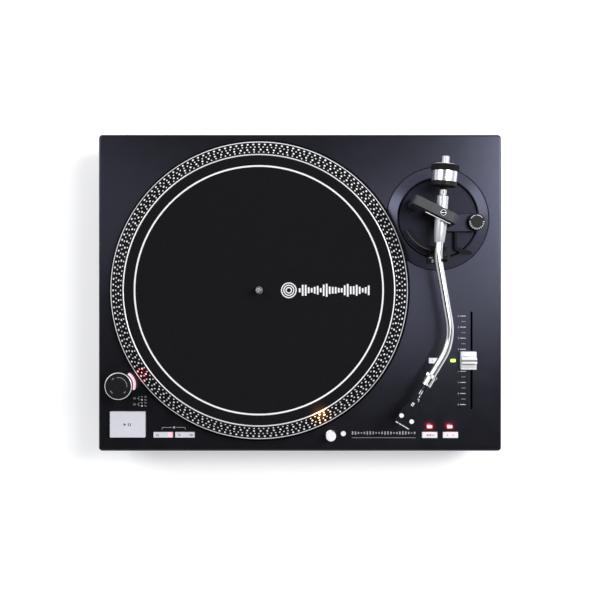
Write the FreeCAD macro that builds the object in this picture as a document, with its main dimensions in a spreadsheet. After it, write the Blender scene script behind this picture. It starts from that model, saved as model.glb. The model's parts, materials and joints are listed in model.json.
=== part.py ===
import FreeCAD, Part
import math
import os
import sys

import Sketcher

# Direct-drive turntable.  Millimetres.  X to the right, Y to the back, Z up.
# The origin is on the surface that the feet stand on, at the middle of the plinth.

SIZES = {
    # plinth
    "plinth_width": 450, "plinth_depth": 354, "floor_gap": 25, "seam_level": 50, "top_level": 84,
    "wall": 3, "chassis_inset": 3, "plinth_corner": 4, "plinth_rim": 2, "front_rim": 4,
    "flange_width": 20, "cover_thick": 2, "well_radius": 150, "well_depth": 10,
    # platter and drive
    "spindle_x": -45.3, "spindle_y": 3, "platter_radius": 166, "rim_under": 88.6, "rim_side": 92.2,
    "bevel_radius": 151, "bevel_top": 101.5, "mat_seat": 100, "lip_inner": 148.6, "mat_radius": 148.4,
    "mat_thick": 2.8, "mat_hole": 4.3, "spindle_radius": 3.575, "journal_radius": 4, "spindle_tip": 116,
    "bearing_radius": 8, "bearing_low": 45, "boss_radius": 16, "stator_low": 76, "stator_high": 84,
    "pole_middle": 43, "magnet_inner": 58, "magnet_outer": 63, "yoke_outer": 66,
    # feet
    "foot_x": 180, "foot_y": 131, "foot_radius": 30, "pad_radius": 27, "pad_thick": 5, "stud_radius": 4,
    # power and strobe tower
    "tower_x": -198.8, "tower_y": -102, "tower_radius": 14.6, "knob_radius": 14.9,
    "tower_split": 101, "tower_top": 110, "strobe_turn": 18, "strobe_radius": 16.2,
    # push buttons
    "start_x": -192.1, "start_y": -146.6, "start_width": 39.5, "start_depth": 29, "start_top": 88,
    "speed_y": -158.3, "speed_low_x": -152.65, "speed_high_x": -128.5, "speed_width": 21.7,
    "speed_depth": 6.2, "key_y": -158.5, "reverse_x": 144.75, "range_x": 167.9, "key_width": 17,
    "key_depth": 6.6, "quartz_x": 152.3, "quartz_y": -75.6, "quartz_depth": 6, "key_top": 86,
    "key_bottom": 76, "button_gap": 0.3,
    # pop-up lamp
    "lamp_x": 34.2, "lamp_y": -158.3, "lamp_radius": 5.5, "lamp_top": 100, "lamp_button_x": 48.3,
    "lamp_button_y": -157, "lamp_button_radius": 2.9, "lamp_turn": 118,
    # pitch fader
    "fader_x": 191.7, "fader_y": -75.2, "fader_travel": 49.5, "slot_width": 2.4, "cap_x": 187,
    "cap_width": 16.6, "cap_depth": 20, "cap_top": 98, "lock_led_x": 171, "led_width": 5.8, "led_depth": 3.4,
    # tonearm base
    "base_x": 153.7, "base_y": 83, "ring_radius": 57, "ring_inner": 44.7, "ring_edge": 84.6,
    "ring_top": 89.6, "disc_radius": 43.7, "disc_top": 88, "collar_radius": 61.4,
    # tonearm
    "pivot_x": 152.1, "pivot_y": 85.3, "arm_axis": 130, "rear_turn": -4.53, "bridge_turn": -26,
    "bridge_width": 9.8, "bridge_under": 141, "bridge_top": 145.5, "tube_radius": 4.35,
    "ring_half": 12, "ring_hole": 9.6, "ring_half_height": 10.5, "ring_hole_height": 8.5, "lip_thick": 1.3,
    "pin_radius": 1.5, "pin_fit": 0.05, "weight_radius": 15.25, "weight_front": 34.2, "weight_back": 53.2,
    "dial_front": 29.4, "shaft_radius": 4, "rest_x": 149.1, "rest_y": 35.7, "clip_offset": 7.9,
    "lift_x": 157.3, "lift_y": 48.2, "lift_radius": 38, "lift_under": 115, "lift_turn": -119.5,
    "block_x": 179.1, "block_y": 77.85, "anti_x": 194.2, "anti_y": 78.1, "anti_radius": 9.5,
    "cue_x": 172, "cue_y": 50, "cue_level": 94, "cue_turn": -19, "head_turn": -30.9, "head_x": 135.4,
    "head_y": -99.2, "run_x": 155.8, "run_y": -4.7, "run_turn": 9.8, "bend_radius": 60,
    "head_length": 51.5, "head_half": 9.2, "screw_offset": 6.35, "screw_ahead": 41.2, "finger_ahead": 25,
    # rear connectors
    "panel_x": 70, "panel_level": 53, "panel_width": 150, "panel_height": 25, "panel_depth": 14,
    "inlet_x": 115, "inlet_level": 65.5, "inlet_width": 27.2, "inlet_height": 19.8,
    "jack_left_x": 15, "jack_right_x": 33, "jack_radius": 4.15, "jack_hole": 1.6,
    "post_x": 55, "post_radius": 2, "switch_x": 78,
    # boards and transformer
    "board_x": 55, "board_y": -40, "board_width": 150, "board_depth": 100, "board_thick": 1.6,
    "core_x": -150, "core_y": 90, "core_width": 54, "core_depth": 44, "core_height": 32,
}

DOC = FreeCAD.newDocument("turntable")
SHEET = DOC.addObject("Spreadsheet::Sheet", "dims")
for row, (alias, number) in enumerate(SIZES.items(), 1):
    SHEET.set("A%d" % row, alias.replace("_", " "))
    SHEET.set("B%d" % row, str(number))
    SHEET.setAlias("B%d" % row, alias)
DOC.recompute()


class Size:
    """A length: its number, and the expression over the sheet's cells that gives it."""

    def __init__(self, number, text):
        self.number = number
        self.text = text

    def __float__(self):
        return float(self.number)

    def __add__(self, other):
        return Size(self.number + float(other), "(%s + %s)" % (self.text, text_of(other)))

    def __sub__(self, other):
        return Size(self.number - float(other), "(%s - %s)" % (self.text, text_of(other)))

    def __mul__(self, other):
        return Size(self.number * float(other), "(%s * %s)" % (self.text, text_of(other)))

    def __truediv__(self, other):
        return Size(self.number / float(other), "(%s / %s)" % (self.text, text_of(other)))

    def __neg__(self):
        return Size(-self.number, "(0 - %s)" % self.text)


class Sheet:
    """Gives each aliased cell as a Size: dim.wall is the cell named wall."""

    def __getattr__(self, alias):
        return Size(float(SHEET.get(alias)), "dims." + alias)


def text_of(value):
    return value.text if isinstance(value, Size) else "(%.6g)" % float(value)


dim = Sheet()
NODES = {}


def node(label, piece):
    """Names a finished sub-part: its label is the name of its file."""
    piece.Label = label
    NODES[label] = piece
    return piece


def bind(piece, **values):
    for name, value in values.items():
        piece.setExpression(name, text_of(value))


def place(piece, x=0, y=0, z=0, turn=(0, 0, 0)):
    """Puts a piece at x, y, z after turning it by yaw, pitch and roll in degrees."""
    piece.Placement = FreeCAD.Placement(FreeCAD.Vector(0, 0, 0), FreeCAD.Rotation(*map(float, turn)))
    for axis, value in zip("xyz", (x, y, z)):
        piece.setExpression("Placement.Base." + axis, text_of(value))
    return piece


def box(x, y, z, length, width, height):
    """A block centred on x and y that stands on level z."""
    piece = DOC.addObject("Part::Box", "block")
    bind(piece, Length=length, Width=width, Height=height)
    return place(piece, as_size(x) - as_size(length) / 2, as_size(y) - as_size(width) / 2, z)


def as_size(value):
    return value if isinstance(value, Size) else Size(float(value), "(%.6g)" % float(value))


def rod(x, y, z, radius, height, turn=(0, 0, 0)):
    piece = DOC.addObject("Part::Cylinder", "rod")
    bind(piece, Radius=radius, Height=height)
    return place(piece, x, y, z, turn)


def cone(x, y, z, radius_low, radius_high, height, turn=(0, 0, 0)):
    piece = DOC.addObject("Part::Cone", "cone")
    bind(piece, Radius1=radius_low, Radius2=radius_high, Height=height)
    return place(piece, x, y, z, turn)


def fuse(*pieces):
    piece = DOC.addObject("Part::MultiFuse", "joined")
    piece.Shapes = list(pieces)
    return piece


def cut(base, *tools):
    piece = DOC.addObject("Part::Cut", "cut")
    piece.Base = base
    piece.Tool = fuse(*tools) if len(tools) > 1 else tools[0]
    return piece


def group(*pieces):
    piece = DOC.addObject("Part::Compound", "group")
    piece.Links = list(pieces)
    return piece


def rounded(base, corner=0, rim=0, front=None):
    """Rounds a block's upright edges to corner, and its top edges to rim or, along the front, to front."""
    DOC.recompute()
    limits = base.Shape.BoundBox
    edges = []
    for index, edge in enumerate(base.Shape.Edges, 1):
        upright = edge.BoundBox.ZLength > 0.9 * limits.ZLength
        top = edge.BoundBox.ZMin > limits.ZMax - 0.01
        if upright and corner:
            edges.append((index, float(corner), float(corner)))
        foremost = edge.BoundBox.YMax < limits.YMin + 0.01
        if top and rim:
            radius = float(front if front and foremost else rim)
            edges.append((index, radius, radius))
    piece = DOC.addObject("Part::Fillet", "rounded")
    piece.Base = base
    piece.Edges = edges
    return piece


def sketch_outline(body, role, points):
    """A closed outline of straight lines through the points, each held by its two distances."""
    sketch = body.newObject("Sketcher::SketchObject", "outline")
    plane = [item for item in body.Origin.OriginFeatures if item.Role == role][0]
    sketch.AttachmentSupport = [(plane, "")]
    sketch.MapMode = "FlatFace"
    count = len(points)
    corners = [FreeCAD.Vector(float(across), float(along), 0) for across, along in points]
    for index in range(count):
        sketch.addGeometry(Part.LineSegment(corners[index], corners[(index + 1) % count]), False)
    for index in range(count):
        following = (index + 1) % count
        sketch.addConstraint(Sketcher.Constraint("Coincident", index, 2, following, 1))
    for index, (across, along) in enumerate(points):
        for kind, value, axis in (("DistanceX", across, -2), ("DistanceY", along, -1)):
            if float(value) == 0:
                sketch.addConstraint(Sketcher.Constraint("PointOnObject", index, 1, axis))
                continue
            held = sketch.addConstraint(Sketcher.Constraint(kind, -1, 1, index, 1, float(value)))
            if isinstance(value, Size):
                sketch.setExpression("Constraints[%d]" % held, value.text)
    return sketch


def lathe(name, points, x=0, y=0, z=0, turn=(0, 0, 0)):
    """A turned piece: points are (radius, level) round an axis that stands at x, y, z."""
    body = DOC.addObject("PartDesign::Body", name)
    sketch = sketch_outline(body, "XZ_Plane", points)
    turned = body.newObject("PartDesign::Revolution", "turned")
    turned.Profile = sketch
    turned.ReferenceAxis = (sketch, ["V_Axis"])
    turned.Angle = 360
    return place(body, x, y, z, turn)


def slab(name, points, x, y, z, height, turn=(0, 0, 0)):
    """A flat piece: points are its outline seen from above, padded up from level z."""
    body = DOC.addObject("PartDesign::Body", name)
    sketch = sketch_outline(body, "XY_Plane", points)
    padded = body.newObject("PartDesign::Pad", "padded")
    padded.Profile = sketch
    bind(padded, Length=height)
    return place(body, x, y, z, turn)


def ring(name, inner, outer, low, high, x=0, y=0, turn=(0, 0, 0), z=0):
    return lathe(name, [(inner, low), (outer, low), (outer, high), (inner, high)], x, y, z, turn)


def corners_of(half_x, half_y):
    return [(sx * half_x, sy * half_y) for sx in (-1, 1) for sy in (-1, 1)]


# ---------------------------------------------------------------- plinth

def make_cabinet():
    """The top shell: a flat deck with a shallow well under the platter and a hole for each control."""
    height = dim.top_level - dim.seam_level
    outside = rounded(box(0, 0, dim.seam_level, dim.plinth_width, dim.plinth_depth, height),
                      dim.plinth_corner, dim.plinth_rim, dim.front_rim)
    inside = box(0, 0, dim.seam_level - 1, dim.plinth_width - dim.wall * 2,
                 dim.plinth_depth - dim.wall * 2, height - dim.wall + 1)
    shell = cut(outside, inside)
    floor = dim.top_level - dim.well_depth
    drum = rod(dim.spindle_x, dim.spindle_y, floor - dim.wall, dim.well_radius + dim.wall,
               dim.well_depth + dim.wall)
    drum_top = fuse(shell, drum)
    reach = 20
    low = dim.top_level - reach
    gap = dim.button_gap
    holes = [
        rod(dim.spindle_x, dim.spindle_y, floor, dim.well_radius, dim.well_depth + 1),
        rod(dim.spindle_x, dim.spindle_y, floor - 4, dim.boss_radius + 0.5, 6),
        rod(dim.base_x, dim.base_y, low, dim.ring_radius + 0.6, reach + 1),
        rod(dim.tower_x, dim.tower_y, low, 10, reach + 1),
        rod(dim.lamp_x, dim.lamp_y, low, 7.5, reach + 1),
        rod(dim.lamp_button_x, dim.lamp_button_y, low, dim.lamp_button_radius + gap, reach + 1),
        box(dim.start_x, dim.start_y, low, dim.start_width + gap * 2, dim.start_depth + gap * 2,
            reach + 1),
        box(dim.fader_x, dim.fader_y, low, dim.slot_width, dim.fader_travel * 2 + 9.7, reach + 1),
        box(dim.panel_x, dim.plinth_depth / 2, dim.panel_level, dim.panel_width, 20, dim.panel_height),
    ]
    for x in (dim.speed_low_x, dim.speed_high_x):
        holes.append(box(x, dim.speed_y, low, dim.speed_width + gap * 2, dim.speed_depth + gap * 2,
                         reach + 1))
    for x, y, depth in ((dim.reverse_x, dim.key_y, dim.key_depth), (dim.range_x, dim.key_y, dim.key_depth),
                        (dim.quartz_x, dim.quartz_y, dim.quartz_depth)):
        holes.append(box(x, y, low, dim.key_width + gap * 2, depth + gap * 2, reach + 1))
    for x, y in led_places():
        holes.append(box(x, y, low, dim.led_width + 0.2, dim.led_depth + 0.2, reach + 1))
    node("top_cabinet", cut(drum_top, *holes))


def led_places():
    return [(dim.reverse_x, dim.key_y + 9), (dim.range_x - 0.5, dim.key_y + 9),
            (dim.lock_led_x, dim.quartz_y)]


def make_chassis():
    """The lower tray, set in from the cabinet, with a flange that the cover is screwed to."""
    width = dim.plinth_width - dim.chassis_inset * 2
    depth = dim.plinth_depth - dim.chassis_inset * 2
    height = dim.seam_level - dim.floor_gap
    outside = rounded(box(0, 0, dim.floor_gap, width, depth, height), dim.plinth_corner)
    flange_top = dim.floor_gap + dim.cover_thick + 3
    cavity = box(0, 0, flange_top, width - 8, depth - 8, height)
    pocket = box(0, 0, dim.floor_gap - 1, width - 14, depth - 14, dim.cover_thick + 1)
    window = box(0, 0, dim.floor_gap - 1, width - dim.flange_width * 2 - 4,
                 depth - dim.flange_width * 2 - 4, 10)
    bores = [rod(x, y, dim.floor_gap, 1.6, 8) for x, y in screw_places()]
    node("base_chassis", cut(outside, cavity, pocket, window, *bores))
    plate = rounded(box(0, 0, dim.floor_gap, width - 15, depth - 15, dim.cover_thick), 3)
    nuts = [rod(x, y, dim.floor_gap, 9, 16) for x, y in foot_places()]
    cover_bores = [rod(x, y, dim.floor_gap - 1, 1.7, 5) for x, y in screw_places()]
    foot_bores = [rod(x, y, dim.floor_gap - 1, dim.stud_radius + 0.05, 20) for x, y in foot_places()]
    vents = [box(40 + 12 * step, -60, dim.floor_gap - 1, 4, 60, 5) for step in range(8)]
    node("bottom_cover", cut(fuse(plate, *nuts), *cover_bores, *foot_bores, *vents))
    screws = []
    for x, y in screw_places():
        head = cone(x, y, dim.floor_gap - 1.6, 3.2, 2.8, 1.6)
        slot = box(x, y, dim.floor_gap - 1.7, 4, 0.8, 0.9)
        screws.append(cut(fuse(head, rod(x, y, dim.floor_gap, 1.5, 7)), slot))
    node("cover_screws", group(*screws))


def screw_places():
    across = dim.plinth_width / 2 - dim.flange_width + 3
    back = dim.plinth_depth / 2 - dim.flange_width + 3
    places = corners_of(float(across), float(back))
    places += [(x, side * float(back)) for x in (-70.0, 70.0) for side in (-1, 1)]
    places += [(side * float(across), 0.0) for side in (-1, 1)]
    return places


def foot_places():
    return corners_of(float(dim.foot_x), float(dim.foot_y))


def make_feet():
    """Four feet, each a rubber-soled cup on a threaded stud that runs in a nut of the cover."""
    names = ("foot_front_left", "foot_back_left", "foot_front_right", "foot_back_right")
    for name, (x, y) in zip(names, foot_places()):
        under = dim.floor_gap - 0.6
        profile = [(0, 0), (dim.pad_radius - 1.5, 0), (dim.pad_radius, 1.5), (dim.pad_radius, dim.pad_thick),
                   (dim.foot_radius - 1, dim.pad_thick), (dim.foot_radius, dim.pad_thick + 1),
                   (dim.foot_radius, under - 1.5), (dim.foot_radius - 1.5, under), (dim.stud_radius, under),
                   (dim.stud_radius, dim.seam_level - 2), (0, dim.seam_level - 2)]
        node(name, lathe(name, profile, x, y))


# ---------------------------------------------------------------- platter and drive

def make_platter():
    x, y = dim.spindle_x, dim.spindle_y
    seat = dim.mat_seat
    web = seat - 3.5
    hub = dim.journal_radius
    profile = [(hub, 90), (14, 90), (14, web), (dim.well_radius - 4, web), (dim.platter_radius - 9, 92),
               (dim.platter_radius - 5, dim.rim_under), (dim.platter_radius, dim.rim_under),
               (dim.platter_radius, dim.rim_side), (dim.bevel_radius, dim.bevel_top),
               (dim.bevel_radius - 0.4, dim.bevel_top + 0.4), (dim.lip_inner + 0.4, dim.bevel_top + 0.4),
               (dim.lip_inner, dim.bevel_top), (dim.lip_inner, seat), (hub, seat)]
    casting = lathe("casting", profile, x, y)
    fingers = [rod(dim.spindle_x + 105 * side, dim.spindle_y, web - 1, 14, 8) for side in (-1, 1)]
    node("platter", cut(casting, *fingers))
    tip = dim.spindle_tip
    shaft = dim.spindle_radius
    journal = dim.journal_radius
    shoulder = seat + dim.mat_thick
    spindle = [(0, dim.bearing_low + 1.2), (journal - 0.8, dim.bearing_low + 1.2),
               (journal, dim.bearing_low + 2), (journal, shoulder), (shaft, shoulder), (shaft, tip - 3),
               (shaft - 0.6, tip - 1.2), (shaft - 2, tip), (0, tip)]
    node("spindle", lathe("spindle", spindle, x, y))
    yoke = ring("yoke", dim.magnet_outer, dim.yoke_outer, 85, web, x, y)
    magnet = ring("magnet", dim.magnet_inner, dim.magnet_outer, 85.5, web - 0.5, x, y)
    node("rotor_magnet", group(yoke, magnet))
    mat = seat + 0.1
    node("slipmat", ring("slipmat", dim.mat_hole, dim.mat_radius, mat, mat + dim.mat_thick, x, y))


def make_motor():
    x, y = dim.spindle_x, dim.spindle_y
    floor = dim.top_level - dim.well_depth - dim.wall
    bore = dim.bearing_radius
    low = dim.bearing_low
    profile = [(0, low - 4), (bore + 4, low - 4), (bore + 4, floor - 9), (72, floor - 4), (72, floor),
               (dim.boss_radius, floor), (dim.boss_radius, 84), (bore, 84), (bore, low), (0, low)]
    node("motor_frame", lathe("motor_frame", profile, x, y))
    shaft_hole = dim.journal_radius + 0.03
    bush = ring("bush", shaft_hole, bore, low + 1, 86, x, y)
    node("spindle_bearing", group(bush, rod(x, y, low, bore, 1)))
    base, high = dim.stator_low, dim.stator_high
    core = ring("core", dim.boss_radius, dim.boss_radius * 2, base, high, x, y)
    middle = dim.pole_middle
    teeth = []
    coils = []
    poles = 12
    for pole in range(poles):
        turn = (360.0 / poles * pole, 0, 0)
        tooth = box(middle, 0, base + 1, 25, 5, 6)
        shoe = box(middle + 11, 0, base, 4, 18, high - base)
        teeth.append(place(fuse(tooth, shoe), x, y, 0, turn))
        winding = cut(box(middle, 0, base - 1.2, 16, 11, 10.4), box(middle, 0, base + 1, 20, 5, 6))
        coils.append(place(winding, x, y, 0, turn))
    node("stator", group(fuse(core, *teeth), *coils))


def make_electronics():
    """The main board, the small boards under the buttons and the mains transformer."""
    seat = dim.floor_gap + dim.cover_thick
    thick = dim.board_thick
    level = seat + 9
    board = box(dim.board_x, dim.board_y, level, dim.board_width, dim.board_depth, thick)
    top = level + thick
    chips = [box(20, -60, top, 16, 16, 14), box(60, -20, top, 24, 24, 3), box(15, -15, top, 30, 12, 9)]
    cans = [rod(100, y, top, 8, 20) for y in (-60, -30)]
    posts = [rod(dim.board_x + x, dim.board_y + y, seat, 3, 9) for x, y in corners_of(69, 44)]
    boards = [fuse(board, *chips, *cans, *posts)]
    under = dim.key_bottom - 4 - thick
    for x, y, length, width, switches in (
            (-165, -152, 96, 34, [(dim.start_x, dim.start_y), (dim.speed_low_x, dim.speed_y),
                                  (dim.speed_high_x, dim.speed_y)]),
            (156, -156, 52, 18, [(dim.reverse_x, dim.key_y), (dim.range_x, dim.key_y)]),
            (156, dim.quartz_y, 30, 18, [(dim.quartz_x, dim.quartz_y)]),
            (dim.lamp_button_x, dim.lamp_button_y, 12, 14, [(dim.lamp_button_x, dim.lamp_button_y)])):
        plate = box(x, y, under, length, width, thick)
        reach_x, reach_y = length / 2 - 2.5, width / 2 - 2.5
        height = dim.top_level - dim.wall - under
        posts = [rod(as_size(x) + side * reach_x, as_size(y) + side * reach_y, under, 1.8, height)
                 for side in (-1, 1)]
        parts = [box(sx, sy, under, 5, 5, thick * 2) for sx, sy in switches]
        boards.append(fuse(plate, *posts, *parts))
    node("circuit_boards", group(*boards))

    x, y = dim.core_x, dim.core_y
    width, depth, height = dim.core_width, dim.core_depth, dim.core_height
    iron = cut(box(x, y, seat, width, depth, height), box(x, y, seat + 7, width - 18, depth + 2, height - 14))
    limb = box(x, y, seat + 6, 16, depth, height - 12)
    bobbin = cut(box(x, y, seat + 7.3, width - 19, depth + 16, height - 14.6),
                 box(x, y, seat, 16.4, depth + 2, height + 8))
    node("power_transformer", group(fuse(iron, limb), bobbin))


# ---------------------------------------------------------------- rear connectors

def make_rear():
    """A recess in the back wall that holds the mains inlet, the outputs, the switch and the earth post."""
    back = dim.plinth_depth / 2
    skin = 1.5
    floor = skin + 1
    x, depth, level = dim.panel_x, dim.panel_depth, dim.inlet_level
    middle = back - dim.wall - depth / 2
    outside = box(x, middle, dim.panel_level - skin, dim.panel_width + skin * 2, depth,
                  dim.panel_height + skin * 2)
    hollow = box(x, middle + floor, dim.panel_level, dim.panel_width, depth, dim.panel_height)
    face = back - dim.wall - depth
    front = face + floor
    rear = (0, 0, 90)
    jacks = (dim.jack_left_x, dim.jack_right_x)
    post = dim.post_radius
    holes = [rod(jack, face + 9, level, 3.2, 10, rear) for jack in jacks]
    holes.append(rod(dim.post_x, face + 9, level, post, 10, rear))
    holes.append(box(dim.switch_x, face, level - 2.2, 10.4, 12, 4.4))
    holes.append(box(dim.inlet_x, face, level - 10, dim.inlet_width + 0.2, 12, 20))
    node("rear_panel", cut(outside, hollow, *holes))

    width, height = dim.inlet_width, dim.inlet_height
    flange = box(dim.inlet_x, front + 1, level - 11.4, width + 3.5, 2, height + 3)
    body = box(dim.inlet_x, front - 11, level - height / 2, width, 22, height)
    socket = box(dim.inlet_x, front - 6, level - 8, width - 3.2, 17, 16)
    blades = []
    for offset, rise in ((-7, -2), (7, -2), (0, 2)):
        blades.append(box(dim.inlet_x + offset, front - 10.5, level + rise - 2, 2, 15, 4))
    node("mains_inlet", group(cut(fuse(flange, body), socket), *blades))

    sockets = []
    out = (0, 0, -90)
    hole, sleeve = dim.jack_hole, dim.jack_radius
    for jack in jacks:
        profile = [(hole, -11), (3.2, -11), (3.2, 0), (6, 0), (6, 2), (sleeve, 2), (sleeve, 9.5), (hole, 9.5)]
        sockets.append(lathe("jack", profile, jack, front, level, out))
    node("output_jacks", group(*sockets))
    stud = rod(dim.post_x, front + 10, level, post, 20, rear)
    node("ground_post", fuse(stud, rod(dim.post_x, front + 1, level, 5, 1, rear)))
    node("ground_nut", ring("ground_nut", post + 0.05, 4.5, 1.4, 7, dim.post_x, front, out, level))
    knob = box(dim.switch_x - 3, face + 2.75, level - 1.9, 3, 7.5, 3.8)
    slider = box(dim.switch_x - 3, face - 3.3, level - 1.9, 5, 6, 3.8)
    node("output_switch", fuse(knob, slider))


# ---------------------------------------------------------------- controls

def make_tower():
    """The strobe tower: a fixed housing with a window to the platter, under a turning power knob."""
    x, y = dim.tower_x, dim.tower_y
    top = dim.top_level
    foot = [(0, top - 8), (9.7, top - 8), (9.7, top), (dim.tower_radius, top),
            (dim.tower_radius, dim.tower_split), (7, dim.tower_split), (7, top - 5), (0, top - 5)]
    window = place(group(box(dim.tower_radius, 0, 0, 12, 20, 10)), x, y, top + 4, (dim.strobe_turn, 0, 0))
    node("strobe_housing", cut(lathe("tower", foot, x, y), window))
    lens = DOC.addObject("Part::Cylinder", "lens")
    bind(lens, Radius=dim.strobe_radius, Height=9.6)
    lens.Angle = 74
    place(lens, x, y, top + 4.2, (float(dim.strobe_turn) - 37, 0, 0))
    hollow = rod(x, y, top + 3, 11.5, 12)
    node("strobe_lens", cut(lens, hollow))
    knob = [(0, dim.tower_split + 0.3), (dim.knob_radius, dim.tower_split + 0.3),
            (dim.knob_radius, dim.tower_top - 0.7), (dim.knob_radius - 0.7, dim.tower_top),
            (dim.knob_radius - 1.3, dim.tower_top), (dim.knob_radius - 1.3, dim.tower_top - 0.4),
            (0, dim.tower_top - 0.4)]
    skirt = ring("skirt", 5.5, 6.7, dim.tower_split - 8, dim.tower_split + 1, x, y)
    node("power_knob", fuse(lathe("cap", knob, x, y), skirt))


def make_buttons():
    start_height = dim.start_top - dim.key_bottom
    start = rounded(box(dim.start_x, dim.start_y, dim.key_bottom, dim.start_width, dim.start_depth,
                        start_height), 0.8, 0.6)
    node("start_stop_button", start)
    height = dim.key_top - dim.key_bottom
    for label, x, y, width, depth in (
            ("speed_33_button", dim.speed_low_x, dim.speed_y, dim.speed_width, dim.speed_depth),
            ("speed_45_button", dim.speed_high_x, dim.speed_y, dim.speed_width, dim.speed_depth),
            ("reverse_button", dim.reverse_x, dim.key_y, dim.key_width, dim.key_depth),
            ("pitch_range_button", dim.range_x, dim.key_y, dim.key_width, dim.key_depth),
            ("quartz_lock_button", dim.quartz_x, dim.quartz_y, dim.key_width, dim.quartz_depth)):
        node(label, rounded(box(x, y, dim.key_bottom, width, depth, height), 0.4, 0.4))
    radius = dim.lamp_button_radius
    profile = [(0, dim.key_bottom), (radius, dim.key_bottom), (radius, dim.key_top - 0.2),
               (radius - 0.5, dim.key_top + 0.3), (0, dim.key_top + 0.3)]
    node("lamp_button", lathe("lamp_button", profile, dim.lamp_button_x, dim.lamp_button_y))
    lenses = [box(x, y, dim.top_level - 6, dim.led_width, dim.led_depth, 6.2) for x, y in led_places()]
    node("indicator_lenses", group(*lenses))


def make_lamp():
    """The pop-up stylus lamp in its sleeve, with a lens that faces the platter."""
    x, y = dim.lamp_x, dim.lamp_y
    radius = dim.lamp_radius
    top = dim.lamp_top
    sleeve = [(radius + 0.06, dim.top_level - 22), (7.4, dim.top_level - 22), (7.4, dim.top_level),
              (6.9, dim.top_level + 0.4), (radius + 0.06, dim.top_level + 0.4)]
    node("lamp_sleeve", lathe("lamp_sleeve", sleeve, x, y))
    barrel = [(0, top - 34), (radius, top - 34), (radius, top - 1), (radius - 1, top), (0, top)]
    turn = (dim.lamp_turn, 0, 0)
    window = place(group(box(radius, 0, top - 11, 5, 6, 7)), x, y, 0, turn)
    node("target_lamp", cut(lathe("barrel", barrel, x, y), window))
    glass = place(group(box(radius - 1.7, 0, top - 10.9, 1.6, 5.8, 6.8)), x, y, 0, turn)
    node("target_lamp_lens", glass)


def make_fader():
    x, y = dim.fader_x, dim.fader_y
    top = dim.top_level
    channel = cut(box(x, y, top - dim.wall - 12, 14, 132, 12),
                  box(x, y, top - dim.wall - 10, 5, 122, 11))
    node("fader_track", channel)
    stem = box(x, y, top - dim.wall - 8, 1.3, 8, dim.wall + 10.5)
    low = top + 1.2
    base = box(dim.cap_x, y, low, dim.cap_width, dim.cap_depth, 7.8)
    bar = box(dim.cap_x + 0.6, y, low, dim.cap_width, 7, dim.cap_top - low)
    groove = box(dim.cap_x + 0.6, y, dim.cap_top - 0.8, dim.cap_width + 1, 1.2, 2)
    node("pitch_fader_cap", cut(fuse(rounded(base, 0.5, 0.5), bar, stem), groove))


# ---------------------------------------------------------------- tonearm base

def make_arm_base():
    x, y = dim.base_x, dim.base_y
    deck = dim.top_level - dim.wall
    collar = [(dim.disc_radius + 0.5, 70), (dim.collar_radius, 70), (dim.collar_radius, deck),
              (dim.collar_radius - 2, deck), (dim.collar_radius - 2, 78), (dim.disc_radius + 0.5, 78)]
    node("arm_base_collar", lathe("arm_base_collar", collar, x, y))
    slope = [(dim.ring_inner, 79), (dim.ring_radius, 79), (dim.ring_radius, dim.ring_edge - 0.4),
             (dim.ring_radius - 0.6, dim.ring_edge), (dim.ring_inner + 1.2, dim.ring_top),
             (dim.ring_inner, dim.ring_top - 0.6)]
    node("height_ring", lathe("height_ring", slope, x, y))
    disc = [(0, dim.disc_top - 4), (dim.disc_radius - 4, dim.disc_top - 4), (dim.disc_radius - 4, 68),
            (dim.disc_radius, 68), (dim.disc_radius, dim.disc_top - 0.6),
            (dim.disc_radius - 0.6, dim.disc_top), (dim.disc_radius - 2, dim.disc_top),
            (dim.disc_radius - 2, dim.disc_top - 0.6), (dim.disc_radius - 3, dim.disc_top - 0.6),
            (dim.disc_radius - 3, dim.disc_top), (0, dim.disc_top)]
    pedestal = cone(dim.pivot_x, dim.pivot_y, dim.disc_top, 9, 6.5, 29)
    socket = rod(dim.pivot_x, dim.pivot_y, dim.disc_top + 22, dim.pin_radius + dim.pin_fit, 10)
    lift_tower = rod(dim.lift_x, dim.lift_y, dim.disc_top - 1, 4.5, 21)
    lift_bore = rod(dim.lift_x, dim.lift_y, dim.disc_top + 2, 2.05, 20)
    node("arm_base", cut(fuse(lathe("disc", disc, x, y), pedestal, lift_tower), socket, lift_bore))


def make_bridge():
    """The arch over the pivot: a post on the left, a flat beam and a leg that stands on the housing."""
    deck, under, top = dim.disc_top, dim.bridge_under, dim.bridge_top
    shelf = dim.ring_top + 7
    arch = slab("arch", [(-34, deck), (-24, deck), (-24, under - 1), (-23, under), (12, under),
                         (13, under - 1.5), (13, shelf), (17.5, shelf), (17.5, under - 1.5),
                         (16.6, top - 2.2), (14.8, top - 0.7), (12.5, top), (-31, top), (-33, top - 0.8),
                         (-34, top - 3)], 0, dim.bridge_width / 2, 0, dim.bridge_width, (0, 0, 90))
    hole = rod(0, 0, under - 1, dim.pin_radius + dim.pin_fit, 10)
    bridge = place(cut(arch, hole), dim.pivot_x, dim.pivot_y, 0, (dim.bridge_turn, 0, 0))
    head = [(0, top), (3.3, top), (3.3, top + 1), (2.6, top + 1.5), (0, top + 1.5)]
    slot = box(dim.pivot_x, dim.pivot_y, top + 0.8, 4, 0.7, 1)
    screw = cut(lathe("pivot_screw", head, dim.pivot_x, dim.pivot_y), slot)
    node("gimbal_bridge", group(bridge, screw))


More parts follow.
